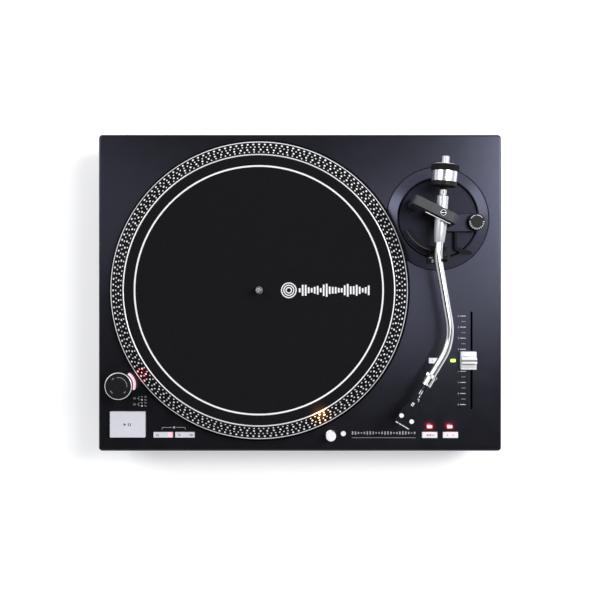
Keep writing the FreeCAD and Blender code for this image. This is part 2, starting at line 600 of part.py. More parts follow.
def make_anti_skate():
    deck = dim.disc_top
    x, y = dim.block_x, dim.block_y
    body = rounded(box(x, y, dim.ring_top + 0.8, 35, 20.3, 6.2), 2, 0.8)
    foot = box(x - 4.3, y, deck, 19, 18, 4)
    bore = rod(dim.cue_x, y - 4, dim.cue_level, 1.85, 10, (0, 0, 90))
    hub = rod(dim.anti_x, dim.anti_y, dim.ring_top + 4, 2.05, 10)
    node("anti_skate_housing", cut(fuse(body, foot), bore, hub))
    low = dim.ring_top + 7.3
    radius = dim.anti_radius
    knob = [(0, low - 3), (2, low - 3), (2, low), (radius, low), (radius, low + 8), (radius - 0.8, low + 9),
            (0, low + 9)]
    node("anti_skate_knob", lathe("anti_skate_knob", knob, dim.anti_x, dim.anti_y))


def make_cue():
    """Cue lever: a shaft in the anti-skate housing, with a flat paddle to the right of it."""
    shaft = rod(dim.cue_x, dim.cue_y + 21.5, dim.cue_level, 1.8, 22, (0, 0, 90))
    paddle = slab("paddle", [(0, -2.2), (7, -3.4), (17, -2.4), (20.5, 0), (17, 2), (7, 1.6), (0, 2.2)],
                  dim.cue_x, dim.cue_y, dim.cue_level - 1.2, 2.4, (dim.cue_turn, 0, 0))
    node("cue_lever", fuse(shaft, paddle))


def make_lift():
    """The lift: a rod in the base's cylinder that carries a curved platform under the arm."""
    stem = rod(dim.lift_x, dim.lift_y, dim.disc_top + 4, 2, 27)
    radius, under = dim.lift_radius, dim.lift_under
    plate = ring("platform", radius - 2.5, radius + 2.5, under, under + 3.7, dim.pivot_x, dim.pivot_y)
    sector = slab("sector", [(0, 0), (60, -44), (60, 44)], dim.pivot_x, dim.pivot_y, under - 5, 10,
                  (dim.lift_turn, 0, 0))
    common = DOC.addObject("Part::Common", "kept")
    common.Base = plate
    common.Tool = sector
    node("lift_platform", fuse(stem, common))


def make_rest():
    """The arm rest: a post with a cradle under the tube and a clip that swings over it."""
    x, y = dim.rest_x, dim.rest_y
    hinge = x + dim.clip_offset
    deck = dim.disc_top
    shelf = deck + 20
    post = rod(x - 3, y + 11, deck, 4.3, 16)
    beam = box(x - 3, y + 6.5, deck + 12, 8, 18, 4)
    upright = box(x, y, deck + 12, 12, 7, 20)
    fork = box(x - 8, y, shelf + 2, 6, 7, 12)
    right = rod(hinge, y, shelf, 2.8, 12)
    web = box(x + 4, y, shelf, 10, 6, 5)
    trough = rod(x, y + 6, dim.arm_axis, 7, 12, (0, 0, 90))
    eye = rod(hinge, y, shelf + 6, 1.05, 8)
    node("arm_rest", cut(fuse(post, beam, upright, fork, right, web), trough, eye))
    pin = rod(hinge, y, shelf + 7, 1, 6)
    knob = rod(hinge, y, shelf + 12.5, 3.4, 3.5)
    riser = rod(hinge + 1.8, y, shelf + 12.5, 1.5, 17)
    hook = box(hinge + 1.8, y + 5.5, shelf + 27.3, 3, 12, 2.2)
    node("arm_rest_clip", fuse(pin, knob, riser, hook))


# ---------------------------------------------------------------- tonearm

REAR = 90


def along_rear(points, name):
    """A turned piece on the arm's rear axis; levels are distances in front of the pivot."""
    return lathe(name, points, dim.pivot_x, dim.pivot_y, dim.arm_axis, (dim.rear_turn, 0, REAR))


def make_gimbal():
    """The ring between the upright pins and the arm's cross pins, with a lip along the top of its front."""
    outline = box(0, 0, -dim.ring_half_height, dim.ring_half * 2, 6, dim.ring_half_height * 2)
    hole = box(0, 0, -dim.ring_hole_height, dim.ring_hole * 2, 8, dim.ring_hole_height * 2)
    side = rod(-15, 0, 0, dim.pin_radius + dim.pin_fit, 30, (0, 90, 0))
    lip = box(-2.5, -2.1, dim.ring_half_height - dim.lip_thick, 29, 10.2, dim.lip_thick)
    frame = cut(fuse(outline, lip), hole, side)
    upper = rod(0, 0, dim.ring_half_height, dim.pin_radius, 3.5)
    lower = rod(0, 0, -dim.ring_half_height - 4.5, dim.pin_radius, 4.5)
    node("gimbal_ring", place(fuse(frame, upper, lower), dim.pivot_x, dim.pivot_y, dim.arm_axis,
                              (dim.bridge_turn, 0, 0)))


def make_arm_body():
    shell = [(0, -19), (6.6, -19), (6.85, -18.5), (6.85, -3), (7.25, 6), (7.2, 16), (6.4, 30.5), (6, 31.2),
             (0, 31.2)]
    pins = place(group(rod(-11, 0, 0, dim.pin_radius, 22, (0, 90, 0))), dim.pivot_x, dim.pivot_y,
                 dim.arm_axis, (dim.bridge_turn, 0, 0))
    node("arm_pivot_housing", fuse(along_rear(shell, "shell"), pins))
    shaft = [(0, -62), (3.6, -62), (4, -61.6), (4, -19), (0, -19)]
    node("rear_shaft", along_rear(shaft, "rear_shaft"))


def towards(turn):
    """The level direction that -Y takes after a turn in degrees."""
    return FreeCAD.Vector(math.sin(math.radians(turn)), -math.cos(math.radians(turn)), 0)


def meeting(start, heading, other, other_heading):
    """Where two level lines cross."""
    gap = other - start
    cross = heading.x * other_heading.y - heading.y * other_heading.x
    return start + heading * ((gap.x * other_heading.y - gap.y * other_heading.x) / cross)


def make_tube():
    """The S-shaped tube: three straight runs joined by two tangent arcs, with a round section."""
    level = float(dim.arm_axis)
    pivot = FreeCAD.Vector(float(dim.pivot_x), float(dim.pivot_y), level)
    head = FreeCAD.Vector(float(dim.head_x), float(dim.head_y), level)
    rear, front = towards(float(dim.rear_turn)), towards(float(dim.head_turn))
    middle = FreeCAD.Vector(float(dim.run_x), float(dim.run_y), level)
    middle_heading = towards(float(dim.run_turn))
    points = [pivot + rear * 31.3, meeting(pivot, rear, middle, middle_heading),
              meeting(middle, middle_heading, head, front), head - front * 2.2]
    radius = float(dim.bend_radius)
    edges = []
    start = points[0]
    for index in (1, 2):
        corner = points[index]
        before = (points[index - 1] - corner).normalize()
        after = (points[index + 1] - corner).normalize()
        half = before.getAngle(after) / 2
        into = corner + before * (radius / math.tan(half))
        out = corner + after * (radius / math.tan(half))
        inward = (before + after).normalize()
        crown = corner + inward * (radius / math.sin(half) - radius)
        edges.append(Part.LineSegment(start, into).toShape())
        edges.append(Part.Arc(into, crown, out).toShape())
        start = out
    edges.append(Part.LineSegment(start, points[-1]).toShape())
    path = Part.Wire(edges)
    section = Part.Wire(Part.Circle(points[0], rear, float(dim.tube_radius)).toShape())
    tube = DOC.addObject("Part::Feature", "arm_tube")
    tube.Shape = path.makePipeShell([section], True, False)
    node("arm_tube", tube)
    expected = math.pi * float(dim.tube_radius) ** 2 * path.Length
    print("tube volume %.0f of %.0f" % (tube.Shape.Volume, expected))


def make_weight():
    front, back, radius = dim.weight_front, dim.weight_back, dim.weight_radius
    bore = dim.shaft_radius + 0.05
    profile = [(bore, -back), (radius - 1.5, -back), (radius, -back + 1.5), (radius, -back + 7.1),
               (radius - 1.5, -back + 7.5), (radius - 1.5, -front), (bore, -front)]
    node("counterweight", along_rear(profile, "counterweight"))
    dial = [(bore, -front + 0.3), (radius - 1.5, -front + 0.3), (radius - 1.5, -dim.dial_front - 0.8),
            (radius - 2.3, -dim.dial_front), (bore, -dim.dial_front)]
    node("force_dial", along_rear(dial, "force_dial"))


def head_piece(profile, name):
    """A turned piece on the headshell's axis; levels run back from the collar's front."""
    return lathe(name, profile, dim.head_x, dim.head_y, dim.arm_axis, (dim.head_turn, 0, REAR))


def make_head():
    bore = dim.tube_radius + 0.05
    collar = [(bore, -13.2), (6.4, -13.2), (6.4, -9.8), (5.6, -9.6), (5.6, -1.4), (5.9, -1.2),
              (5.9, 0), (4.2, 0), (4.2, -2), (bore, -2)]
    node("locking_collar", head_piece(collar, "locking_collar"))
    where = (dim.head_x, dim.head_y, dim.arm_axis)
    tip = (dim.head_turn, 0, 0)
    end, half = -dim.head_length, dim.head_half
    plug = rod(0, 1.6, 0, 4.1, 8, (0, 0, 90))
    neck = slab("neck", [(-4.6, -6), (4.6, -6), (5.2, -22), (half, -33), (half, end + 1.5), (half - 1.6, end),
                         (-half + 1.6, end), (-half, end + 1.5), (-half, -33), (-5.2, -22)], 0, 0, -1.2, 3.4)
    across, ahead = dim.screw_offset, -dim.screw_ahead
    rails = [box(half * side - 0.8 * side, ahead + 1.5, -4.2, 1.6, 16, 3.2) for side in (-1, 1)]
    slots = [box(across * side, ahead, -6, 2.6, 9, 12) for side in (-1, 1)]
    lift = slab("lift", [(5, 1.3), (20, 0.9), (26.6, 1.6), (28, -0.2), (21, -0.9), (5, -1.3)],
                0, -dim.finger_ahead, -0.6, 1.2)
    shell = cut(fuse(plug, neck, *rails, lift), *slots)
    node("headshell", place(shell, *where, tip))
    screws = []
    for side in (-1, 1):
        head = rod(across * side, ahead, 2.2, 2.4, 1.6)
        slot = box(across * side, ahead, 3, 0.7, 3.6, 1)
        screws.append(cut(fuse(head, rod(across * side, ahead, -9, 1.2, 11.2)), slot))
    node("cartridge_screws", place(group(*screws), *where, tip))
    block = fuse(box(0, ahead + 0.5, -8.6, 15, 8, 7.4), box(0, ahead + 5.5, -13, 13, 22, 8.5))
    bores = [rod(across * side, ahead, -14, 1.25, 14) for side in (-1, 1)]
    node("cartridge_body", place(cut(block, *bores), *where, tip))
    holder = box(0, ahead - 6, -15.6, 9, 9, 2.6)
    lever = rod(0, ahead - 9.5, -13.6, 0.5, 7, (0, 0, 112))
    needle = fuse(lever, cone(0, ahead - 15.4, -17.6, 0.1, 0.5, 1.6))
    node("stylus", place(group(holder, needle), *where, tip))


make_cabinet()
make_chassis()
make_feet()
make_platter()
make_motor()
make_electronics()
make_rear()
make_tower()
make_buttons()
make_lamp()
make_fader()
make_arm_base()
make_bridge()
make_anti_skate()
make_cue()
make_lift()
make_rest()
make_gimbal()
make_arm_body()
make_tube()
make_weight()
make_head()
DOC.recompute()

failed = [item.Label for item in DOC.Objects if "Invalid" in item.State or "Error" in item.State]
for label, piece in NODES.items():
    if piece.Shape.isNull() or not piece.Shape.isValid() or not piece.Shape.Solids:
        failed.append(label)
if failed:
    sys.exit("failed: " + ", ".join(failed))
os.makedirs("parts", exist_ok=True)
for label, piece in NODES.items():
    piece.Shape.exportStep("parts/%s.step" % label)
print(len(NODES), "parts written")
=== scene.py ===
import json
import math

import bmesh
import bpy
from mathutils import Matrix, Vector


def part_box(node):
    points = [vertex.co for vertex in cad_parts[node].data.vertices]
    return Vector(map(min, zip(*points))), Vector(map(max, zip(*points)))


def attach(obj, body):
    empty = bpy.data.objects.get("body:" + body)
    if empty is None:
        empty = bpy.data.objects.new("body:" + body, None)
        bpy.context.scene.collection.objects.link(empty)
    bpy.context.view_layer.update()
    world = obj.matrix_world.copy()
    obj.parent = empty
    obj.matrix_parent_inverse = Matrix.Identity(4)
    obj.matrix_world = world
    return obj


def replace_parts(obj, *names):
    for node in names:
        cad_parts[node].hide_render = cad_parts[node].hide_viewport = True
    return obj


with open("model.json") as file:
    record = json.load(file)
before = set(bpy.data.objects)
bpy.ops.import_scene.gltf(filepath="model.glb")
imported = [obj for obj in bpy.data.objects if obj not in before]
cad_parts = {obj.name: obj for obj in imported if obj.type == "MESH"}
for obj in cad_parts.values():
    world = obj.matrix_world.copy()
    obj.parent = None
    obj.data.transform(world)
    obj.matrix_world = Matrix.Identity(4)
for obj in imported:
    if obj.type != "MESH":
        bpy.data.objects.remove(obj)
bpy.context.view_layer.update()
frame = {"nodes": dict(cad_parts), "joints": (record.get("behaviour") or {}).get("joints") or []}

# Looks of the turntable.  Metres, in the frame's own axes: X right, Y back, Z up.
MM = 0.001
NODES = frame["nodes"]
JOINTS = {joint["name"]: joint for joint in frame["joints"]}


# ---------------------------------------------------------------- places read from the frame

def low(node):
    return Vector(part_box(node)[0])


def high(node):
    return Vector(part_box(node)[1])


def middle(node):
    return (low(node) + high(node)) / 2


def joint_place(name):
    return Vector(JOINTS[name]["pos_m"])


def joint_axis(name):
    return Vector(JOINTS[name]["axis"]).normalized()


def axis_frame(origin, axis):
    """A frame for turned pieces: its Z is the axis."""
    side = Vector((0, 0, 1)).cross(axis).normalized() if abs(axis.z) < 0.9 else Vector((1, 0, 0))
    up = axis.cross(side)
    turn = Matrix((side, up, axis)).transposed().to_4x4()
    return Matrix.Translation(origin) @ turn


def flat_frame(origin, ahead):
    """A level frame: -Y looks ahead, Z is up."""
    back = -ahead.normalized()
    turn = Matrix((Vector((back.y, -back.x, 0)), back, Vector((0, 0, 1)))).transposed().to_4x4()
    return Matrix.Translation(origin) @ turn


def yawed(origin, degrees):
    return Matrix.Translation(origin) @ Matrix.Rotation(math.radians(degrees), 4, "Z")


DECK = high("speed_33_button").z - 2 * MM
SPINDLE = middle("spindle")
MAT_RADIUS = (high("slipmat").x - low("slipmat").x) / 2
MAT_TOP = high("slipmat").z
PIVOT = joint_place("arm_tilt")
REAR_AXIS = joint_axis("counterweight_slide")
HEAD_AXIS = joint_axis("collar_turn")
REAR = axis_frame(PIVOT, REAR_AXIS)
HEAD_TURNED = axis_frame(joint_place("collar_turn"), -HEAD_AXIS)
HEAD = flat_frame(joint_place("collar_turn"), HEAD_AXIS)
PRINT = 0.06 * MM
RING_PLACE = Matrix.Translation((middle("height_ring").x, middle("height_ring").y, 0))
HEAD_TOP = 2.2 * MM                     # the headshell's top, over the arm's axis
REST_TOP = 122 * MM                     # the arm rest's top
PITCH_STEP = 12.36                      # between two numbers of the pitch scale
LENS_WIDE, LENS_DEEP = 5.8, 3.4         # an indicator lens
STRAIGHT = (155.8, -4.7)                # a point on the tube's middle run
STRAIGHT_TURN = 9.8                     # that run's angle from straight ahead, in degrees
BEND_RADIUS = 60
RED_LENSES = (("reverse", "reverse_button", 0), ("range", "pitch_range_button", -0.5))


def red_lens_place(key, shift, level=0):
    """Behind a front key, shifted sideways by some mm."""
    return Vector((middle(key).x + shift * MM, middle(key).y + 9 * MM, level))


def green_lens_place(level=0):
    corner = high("indicator_lenses")
    return Vector((corner.x - LENS_WIDE / 2 * MM, corner.y - LENS_DEEP / 2 * MM, level))


# ---------------------------------------------------------------- materials

def material(name, colour, rough=0.5, metal=0.0, vary=0.15, grain=400.0, bump=0.0, bump_scale=900.0,
             rough_vary=0.08, coat=0.0, sheen=0.0, stretch=(1, 1, 1), specular=0.5, tint=(1, 1, 1)):
    """A Principled material whose colour, roughness and relief come from noise in object space."""
    item = bpy.data.materials.new(name)
    item.use_nodes = True
    tree = item.node_tree
    shader = tree.nodes["Principled BSDF"]
    shader.inputs["Metallic"].default_value = metal
    shader.inputs["Coat Weight"].default_value = coat
    shader.inputs["Coat Roughness"].default_value = 0.12
    shader.inputs["Sheen Weight"].default_value = sheen
    shader.inputs["Specular IOR Level"].default_value = specular
    shader.inputs["Specular Tint"].default_value = (*tint, 1)
    place = tree.nodes.new("ShaderNodeTexCoord")
    mapping = tree.nodes.new("ShaderNodeMapping")
    mapping.inputs["Scale"].default_value = stretch
    tree.links.new(place.outputs["Object"], mapping.inputs["Vector"])
    noise = tree.nodes.new("ShaderNodeTexNoise")
    noise.inputs["Scale"].default_value = grain
    noise.inputs["Detail"].default_value = 4.0
    tree.links.new(mapping.outputs["Vector"], noise.inputs["Vector"])
    ramp = tree.nodes.new("ShaderNodeValToRGB")
    ramp.color_ramp.elements[0].position = 0.3
    ramp.color_ramp.elements[1].position = 0.7
    ramp.color_ramp.elements[0].color = [c * (1 - vary) for c in colour] + [1]
    ramp.color_ramp.elements[1].color = [min(1, c * (1 + vary)) for c in colour] + [1]
    tree.links.new(noise.outputs["Fac"], ramp.inputs["Fac"])
    tree.links.new(ramp.outputs["Color"], shader.inputs["Base Color"])
    spread = tree.nodes.new("ShaderNodeMapRange")
    spread.inputs["To Min"].default_value = max(0.02, rough - rough_vary)
    spread.inputs["To Max"].default_value = min(1.0, rough + rough_vary)
    tree.links.new(noise.outputs["Fac"], spread.inputs["Value"])
    tree.links.new(spread.outputs["Result"], shader.inputs["Roughness"])
    if bump:
        fine = tree.nodes.new("ShaderNodeTexNoise")
        fine.inputs["Scale"].default_value = bump_scale
        fine.inputs["Detail"].default_value = 3.0
        tree.links.new(mapping.outputs["Vector"], fine.inputs["Vector"])
        relief = tree.nodes.new("ShaderNodeBump")
        relief.inputs["Strength"].default_value = bump
        relief.inputs["Distance"].default_value = 0.0002
        tree.links.new(fine.outputs["Fac"], relief.inputs["Height"])
        tree.links.new(relief.outputs["Normal"], shader.inputs["Normal"])
    return item


def glowing(name, colour, strength, grain=700.0):
    """A lit lens: its own light, a little uneven, under a glossy skin."""
    item = material(name, colour, rough=0.25, vary=0.1, grain=grain)
    shader = item.node_tree.nodes["Principled BSDF"]
    shader.inputs["Emission Color"].default_value = (*colour, 1)
    shader.inputs["Emission Strength"].default_value = strength
    return item


BLUISH = (0.66, 0.69, 1.0)
DECK_PAINT = material("deck_paint", (0.008, 0.008, 0.0092), rough=0.2, vary=0.12, grain=60,
                      bump=0.02, bump_scale=2600, rough_vary=0.02, specular=0.5, tint=BLUISH)
CHASSIS = material("chassis_plastic", (0.012, 0.012, 0.013), rough=0.6, bump=0.35, bump_scale=1600)
BLACK_PLASTIC = material("black_plastic", (0.007, 0.007, 0.008), rough=0.42, bump=0.15, bump_scale=2200,
                         specular=0.18)
MATT_BLACK = material("matt_black", (0.0045, 0.0045, 0.0055), rough=0.6, bump=0.2, bump_scale=2200,
                      specular=0.15)
ARM_BLACK = material("arm_paint", (0.0085, 0.0088, 0.0108), rough=0.22, bump=0.03, bump_scale=2400,
                     specular=0.3, tint=BLUISH)
PEARL = material("satin_pearl", (0.56, 0.56, 0.6), rough=0.34, metal=0.5, vary=0.03, grain=300,
                 rough_vary=0.03)
RING_PAINT = material("height_ring_paint", (0.019, 0.02, 0.026), rough=0.3, bump=0.03, bump_scale=2400,
                      specular=1.0, tint=BLUISH)
BASE_BLACK = material("arm_base_paint", (0.006, 0.006, 0.0075), rough=0.25, bump=0.03, bump_scale=2400,
                      specular=0.2, tint=BLUISH)
BRIDGE_PAINT = material("bridge_paint", (0.033, 0.0345, 0.042), rough=0.4, bump=0.1, bump_scale=2400,
                        specular=0.4)
BRIGHT = material("bright_silver", (0.92, 0.92, 0.94), rough=0.35, metal=0.1, vary=0.04, grain=300, coat=0.2)
PEN_STEEL = material("spindle_steel", (0.42, 0.42, 0.44), rough=0.25, metal=1, vary=0.05, grain=500)
RUBBER = material("foot_rubber", (0.014, 0.014, 0.014), rough=0.8, bump=0.3, bump_scale=1400)
STEEL_SHEET = material("sheet_steel", (0.45, 0.45, 0.47), rough=0.38, metal=1, vary=0.2, grain=90,
                       stretch=(1, 9, 1))
TURNED = material("turned_steel", (0.74, 0.74, 0.76), rough=0.2, metal=1, vary=0.06, grain=500,
                  stretch=(1, 1, 12))
CHROME = material("chrome", (0.78, 0.78, 0.8), rough=0.09, metal=1, vary=0.03, grain=120, rough_vary=0.02)
SATIN_CHROME = material("satin_chrome", (0.85, 0.85, 0.87), rough=0.27, metal=1, vary=0.03, grain=200,
                        rough_vary=0.03)
BUTTON = material("button_silver", (0.66, 0.665, 0.725), rough=0.36, vary=0.02, grain=200, bump=0.04,
                  bump_scale=1800, coat=0.1)
KEY_WHITE = material("key_white", (0.86, 0.86, 0.9), rough=0.36, vary=0.02, grain=200, coat=0.1)
FELT = material("felt", (0.0085, 0.0083, 0.0098), rough=0.95, vary=0.4, grain=1500, bump=0.9,
                bump_scale=2600, sheen=0.02, rough_vary=0.04, specular=0.05)
PLATTER_BLACK = material("platter_black", (0.0035, 0.0035, 0.0045), rough=0.5, vary=0.2, grain=250,
                         bump=0.05, bump_scale=1500, specular=0.07)
MACHINED = material("machined_edge", (0.95, 0.95, 0.97), rough=0.3, metal=0.35, vary=0.04, grain=600,
                    stretch=(1, 1, 20))
PRINT_WHITE = material("white_print", (0.82, 0.82, 0.84), rough=0.55, vary=0.05, grain=900)
PRINT_GREY = material("grey_print", (0.36, 0.36, 0.38), rough=0.55, vary=0.08, grain=900)
# A painted highlight colour, a dark grey lighter than black, for the lit outer edge of the lift platform.
PAINTED_EDGE_HIGHLIGHT = material("painted_edge_highlight", (0.06, 0.06, 0.065), rough=0.5, vary=0.3, grain=1500)
PRINT_DARK = material("dark_print", (0.08, 0.08, 0.1), rough=0.5, vary=0.1, grain=900)
# A painted shadow colour: near-black rings laid on the deck where shade falls round the platter and the arm
# base.
PAINTED_SHADOW_BLACK = material("painted_shadow_black", (0.0015, 0.0015, 0.002), rough=0.9, vary=0.1, grain=900, specular=0.0)
DOT_WHITE = material("dot_white", (0.9, 0.9, 0.92), rough=0.4, vary=0.03, grain=900)
BRASS = material("gold_plate", (0.85, 0.62, 0.28), rough=0.2, metal=1, vary=0.06)
COPPER = material("copper_windings", (0.6, 0.28, 0.12), rough=0.35, metal=1, vary=0.25, grain=1500)
BRONZE = material("bronze", (0.5, 0.36, 0.2), rough=0.45, metal=1, vary=0.2)
BOARD = material("circuit_board", (0.02, 0.11, 0.05), rough=0.4, vary=0.4, grain=300)
MAGNET = material("ferrite", (0.05, 0.05, 0.05), rough=0.7)
RED_LIT = glowing("red_lens", (1.0, 0.42, 0.42), 0.8)
EDGE_LIT = glowing("red_edge", (1.0, 0.16, 0.26), 0.5)
PINK_LIT = glowing("pink_lens", (0.9, 0.62, 0.72), 0.14)
STROBE_LIT = glowing("strobe_lens", (1.0, 0.62, 0.72), 0.5)
GREEN_LIT = glowing("green_lens", (0.52, 0.82, 0.16), 0.75)
AMBER_LIT = glowing("amber_lens", (1.0, 0.75, 0.5), 1.6)

LOOKS = {
    DECK_PAINT: ["top_cabinet"],
    CHASSIS: ["base_chassis"],
    BLACK_PLASTIC: ["rear_panel", "mains_inlet", "strobe_housing", "lamp_sleeve", "power_knob",
                    "output_switch", "anti_skate_knob", "arm_rest_clip", "force_dial", "cartridge_body",
                    "stylus"],
    MATT_BLACK: ["lift_platform", "arm_rest", "cue_lever", "arm_base_collar", "fader_track"],
    ARM_BLACK: ["anti_skate_housing", "headshell"],
    BASE_BLACK: ["arm_base", "gimbal_ring"],
    RING_PAINT: ["height_ring"],
    BRIDGE_PAINT: ["gimbal_bridge"],
    STEEL_SHEET: ["bottom_cover", "motor_frame"],
    BRIGHT: ["lamp_button", "target_lamp", "cartridge_screws"],
    PEN_STEEL: ["spindle"],
    RUBBER: ["foot_front_left", "foot_back_left", "foot_front_right", "foot_back_right"],
    TURNED: ["cover_screws", "ground_post"],
    BUTTON: ["start_stop_button", "speed_33_button", "speed_45_button"],
    KEY_WHITE: ["reverse_button", "pitch_range_button", "quartz_lock_button"],
    PLATTER_BLACK: ["platter"],
    BRASS: ["output_jacks", "ground_nut"],
    COPPER: ["stator", "power_transformer"],
    BRONZE: ["spindle_bearing"],
    BOARD: ["circuit_boards"],
    MAGNET: ["rotor_magnet"],
    STROBE_LIT: ["strobe_lens"],
    AMBER_LIT: ["target_lamp_lens"],
}
for look, names in LOOKS.items():
    for name in names:
        mesh = NODES[name].data
        mesh.materials.clear()
        mesh.materials.append(look)


# ---------------------------------------------------------------- mesh tools

def build(name, shape, look, body, smooth=35.0):
    """A closed mesh piece from its points and faces, smooth but for edges sharper than an angle."""
    verts, faces = shape
    mesh = bpy.data.meshes.new(name)
    mesh.from_pydata([tuple(v) for v in verts], [], faces)
    work = bmesh.new()
    work.from_mesh(mesh)
    bmesh.ops.recalc_face_normals(work, faces=work.faces)
    work.to_mesh(mesh)
    work.free()
    piece = bpy.data.objects.new(name, mesh)
    bpy.context.scene.collection.objects.link(piece)
    mesh.materials.append(look)
    for face in mesh.polygons:
        face.use_smooth = True
    mesh.set_sharp_from_angle(angle=math.radians(smooth))
    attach(piece, body)
    return piece


def join(*parts):
    """One list of verts and faces from several."""
    verts, faces = [], []
    for some_verts, some_faces in parts:
        start = len(verts)
        verts += list(some_verts)
        faces += [[corner + start for corner in face] for face in some_faces]
    return verts, faces


def moved(shape, at):
    return [at @ Vector(v) for v in shape[0]], shape[1]


def spin(profile, segments=96, at=Matrix.Identity(4), flute=None):
    """A turned shape from a closed profile of (radius, level) in mm.

    flute(radius, level, angle) gives the radius that a fluted point has.
    """
    verts, faces, rows = [], [], []
    for radius, level in profile:
        if radius < 1e-6:
            rows.append([len(verts)] * segments)
            verts.append(at @ Vector((0, 0, level * MM)))
            continue
        rows.append(list(range(len(verts), len(verts) + segments)))
        for step in range(segments):
            angle = 2 * math.pi * step / segments
            across = (flute(radius, level, angle) if flute else radius) * MM
            verts.append(at @ Vector((across * math.cos(angle), across * math.sin(angle), level * MM)))
    for one, two in zip(rows, rows[1:] + rows[:1]):
        for step in range(segments):
            following = (step + 1) % segments
            face = list(dict.fromkeys((one[step], one[following], two[following], two[step])))
            if len(face) > 2:
                faces.append(face)
    return verts, faces


def knurl(teeth, depth, levels=None):
    """Straight grooves round a turned piece, between two levels where given."""
    def flute(radius, level, angle):
        if levels and not levels[0] <= level <= levels[1]:
            return radius
        share = angle * teeth / (2 * math.pi) % 1
        return radius - depth * (1 - abs(2 * share - 1))
    return flute


def plate(outline, z0, z1, at=Matrix.Identity(4)):
    """A flat plate: its outline in mm, from one level to another in metres."""
    count = len(outline)
    verts = [at @ Vector((x * MM, y * MM, z)) for z in (z0, z1) for x, y in outline]
    faces = [list(range(count))[::-1], list(range(count, 2 * count))]
    faces += [[i, (i + 1) % count, count + (i + 1) % count, count + i] for i in range(count)]
    return verts, faces


def bar(x0, x1, y0, y1, z0, z1, at=Matrix.Identity(4)):
    return plate([(x0, y0), (x1, y0), (x1, y1), (x0, y1)], z0, z1, at)


def arc(inner, outer, start, end, z0, z1, at=Matrix.Identity(4), steps=24):
    """A flat curved strip between two radii in mm and two angles in degrees."""
    outline = []
    for radius, order in ((outer, range(steps + 1)), (inner, range(steps, -1, -1))):
        for step in order:
            angle = math.radians(start + (end - start) * step / steps)
            outline.append((radius * math.cos(angle), radius * math.sin(angle)))
    verts = [at @ Vector((x * MM, y * MM, z)) for z in (z0, z1) for x, y in outline]
    count = len(outline)
    faces = []
    for i in range(steps):
        j = count - 1 - i
        faces += [[i, i + 1, j - 1, j][::-1], [count + i, count + i + 1, count + j - 1, count + j]]
    faces += [[i, (i + 1) % count, count + (i + 1) % count, count + i] for i in range(count)]
    return verts, faces


def dot(x, y, radius, z0, z1, at=Matrix.Identity(4), sides=14):
    angles = [2 * math.pi * step / sides for step in range(sides)]
    outline = [(x + radius * math.cos(angle), y + radius * math.sin(angle)) for angle in angles]
    return plate(outline, z0, z1, at)


def cushion(width, depth, z0, z1, at, corner=0.5, crown=0.35):
    """A rectangular lens or key with rounded corners and a softened top."""
    rows = [(0, z0), (0, z1 - crown * MM), (crown * 0.35, z1 - crown * 0.3 * MM), (crown, z1)]
    verts, faces, count = [], [], 16
    for inset, level in rows:
        for quarter, (sx, sy) in enumerate(((1, 1), (-1, 1), (-1, -1), (1, -1))):
            for step in range(4):
                angle = math.radians(90 * quarter + 30 * step)
                x = sx * (width / 2 - corner) + (corner - inset) * math.cos(angle)
                y = sy * (depth / 2 - corner) + (corner - inset) * math.sin(angle)
                verts.append(at @ Vector((x * MM, y * MM, level)))
    for row in range(len(rows) - 1):
        for step in range(count):
            a, b = row * count + step, row * count + (step + 1) % count
            faces.append([a, b, b + count, a + count])
    faces += [list(range(count))[::-1], list(range((len(rows) - 1) * count, len(rows) * count))]
    return verts, faces


SEGMENTS = {"0": "abcdef", "1": "bc", "2": "abged", "3": "abgcd", "4": "fgbc", "5": "afgcd", "6": "afgedc",
            "8": "abcdefg"}


def numerals(text, x, y, height, z0, z1, at=Matrix.Identity(4)):
    """Plain numerals of straight strokes, centred on x and y, in mm."""
    wide, gap, pen = height * 0.5, height * 0.2, height * 0.16
    left = x - (len(text) * wide + (len(text) - 1) * gap) / 2
    half = height / 2
    parts = []
    for index, sign in enumerate(text):
        x0 = left + index * (wide + gap)
        x1 = x0 + wide
        strokes = {"a": (x0, x1, y + half - pen, y + half), "g": (x0, x1, y - pen / 2, y + pen / 2),
                   "d": (x0, x1, y - half, y - half + pen), "f": (x0, x0 + pen, y, y + half),
                   "b": (x1 - pen, x1, y, y + half), "e": (x0, x0 + pen, y - half, y),
                   "c": (x1 - pen, x1, y - half, y)}
        for offset, key in enumerate(SEGMENTS[sign]):
            parts.append(bar(*strokes[key], z0, z1 + offset * 0.002 * MM, at))
    return join(*parts)


# ---------------------------------------------------------------- platter and slipmat

BEVEL_OUT, BEVEL_IN = 166.0, 151.0
RIM_SIDE = high("platter").z / MM - 9.7
BEVEL_TOP = high("platter").z / MM - 0.4


def bevel_height(radius):
    return RIM_SIDE + (BEVEL_OUT - radius) / (BEVEL_OUT - BEVEL_IN) * (BEVEL_TOP - RIM_SIDE)


def strobe_dots():
    """Four rows of domed dots on the bevel, each a count that stands still at one speed and mains rate."""
    slope = math.atan2(BEVEL_TOP - RIM_SIDE, BEVEL_OUT - BEVEL_IN)
    parts = []
    for radius, count, size in ((152.4, 180, 0.8), (155.3, 133, 1.12), (158.4, 216, 0.8), (161.6, 160, 1.15)):
        profile = [(0, -0.1), (size, -0.1), (size, 0.05), (size * 0.75, 0.12), (0, 0.14)]
        for step in range(count):
            at = (Matrix.Translation((SPINDLE.x, SPINDLE.y, bevel_height(radius) * MM))
                  @ Matrix.Rotation(2 * math.pi * step / count, 4, "Z")
                  @ Matrix.Translation((radius * MM, 0, 0)) @ Matrix.Rotation(slope, 4, "Y"))
            parts.append(spin(profile, 10, at))
    build("strobe_dots", join(*parts), DOT_WHITE, "platter", 60)


